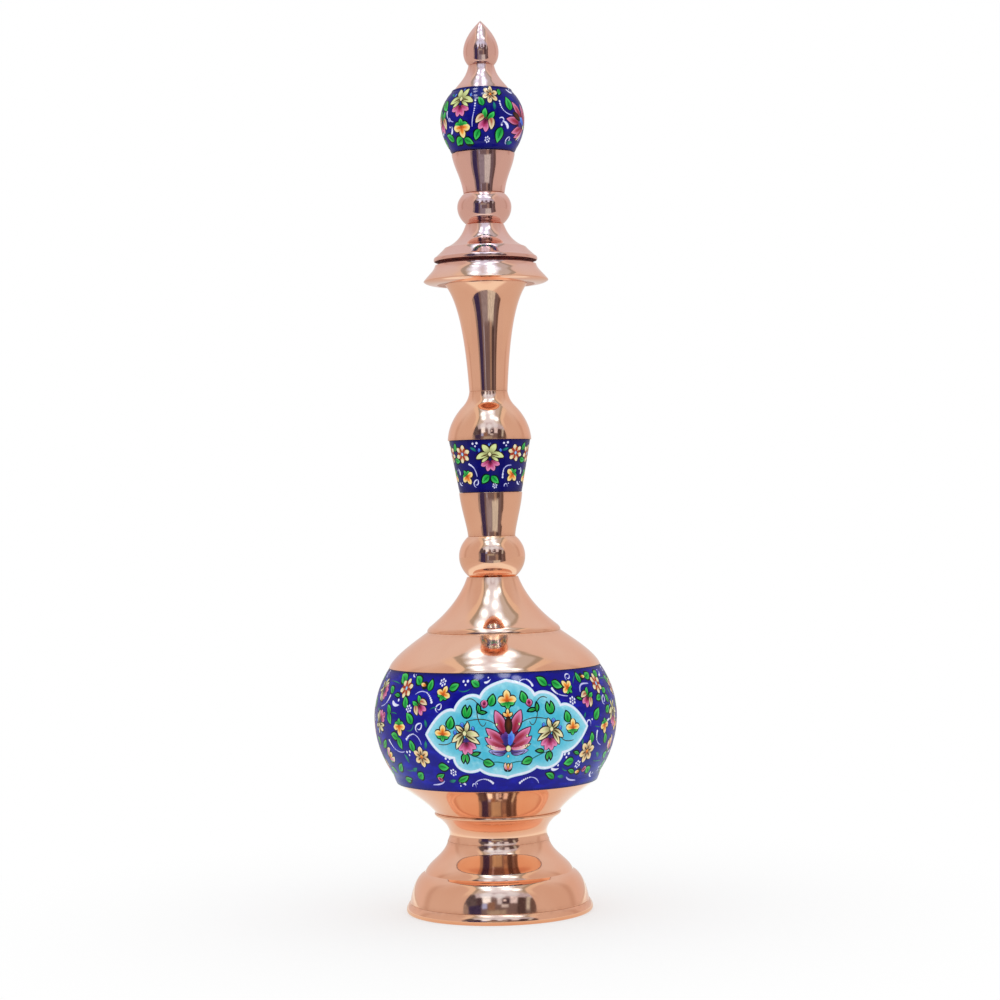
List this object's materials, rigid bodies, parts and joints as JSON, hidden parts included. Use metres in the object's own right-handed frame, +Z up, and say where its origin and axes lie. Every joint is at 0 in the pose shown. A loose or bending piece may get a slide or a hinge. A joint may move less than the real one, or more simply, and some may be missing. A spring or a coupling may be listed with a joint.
{
  "type": "lidded jug",
  "caption": "Tall lidded copper jug with a round body on a flared foot, a long slender neck, a flanged mouth and a lift-off spired lid, banded with painted enamel.",
  "frame": {"origin": "centre of the foot's flat underside, on the surface the jug stands on", "axes": "+Z up along the jug's axis of revolution, from the foot to the finial; -Y towards the front, where the painted cartouche is"},
  "size_m": [0.109, 0.109, 0.4],
  "materials": {
    "copper": "polished, clear lacquered copper",
    "enamel": "glossy painted vitreous enamel",
    "solder": "dull tin solder"
  },
  "bodies": {
    "vessel": {"foot_base_ring": "copper", "foot_pedestal": "copper", "foot_solder": "solder", "waist_collar": "copper", "globe_solder": "solder", "body_globe": "copper", "body_enamel": "enamel", "shoulder_solder": "solder", "shoulder_cone": "copper", "neck_bead": "copper", "neck_cup": "copper", "neck_enamel": "enamel", "neck_bulb": "copper", "neck_trumpet": "copper", "mouth_solder": "solder", "mouth_flange": "copper"},
    "lid": {"lid_plug": "copper", "lid_solder": "solder", "lid_skirt": "copper", "lid_bead": "copper", "lid_stem": "copper", "lid_ball": "copper", "lid_enamel": "enamel", "lid_cap": "copper", "lid_finial": "copper"}
  },
  "joints": [
    {"name": "lid_lift", "type": "slide", "parent": "vessel", "child": "lid", "axis": [0, 0, 1], "range_m": [0, 0.06]}
  ]
}
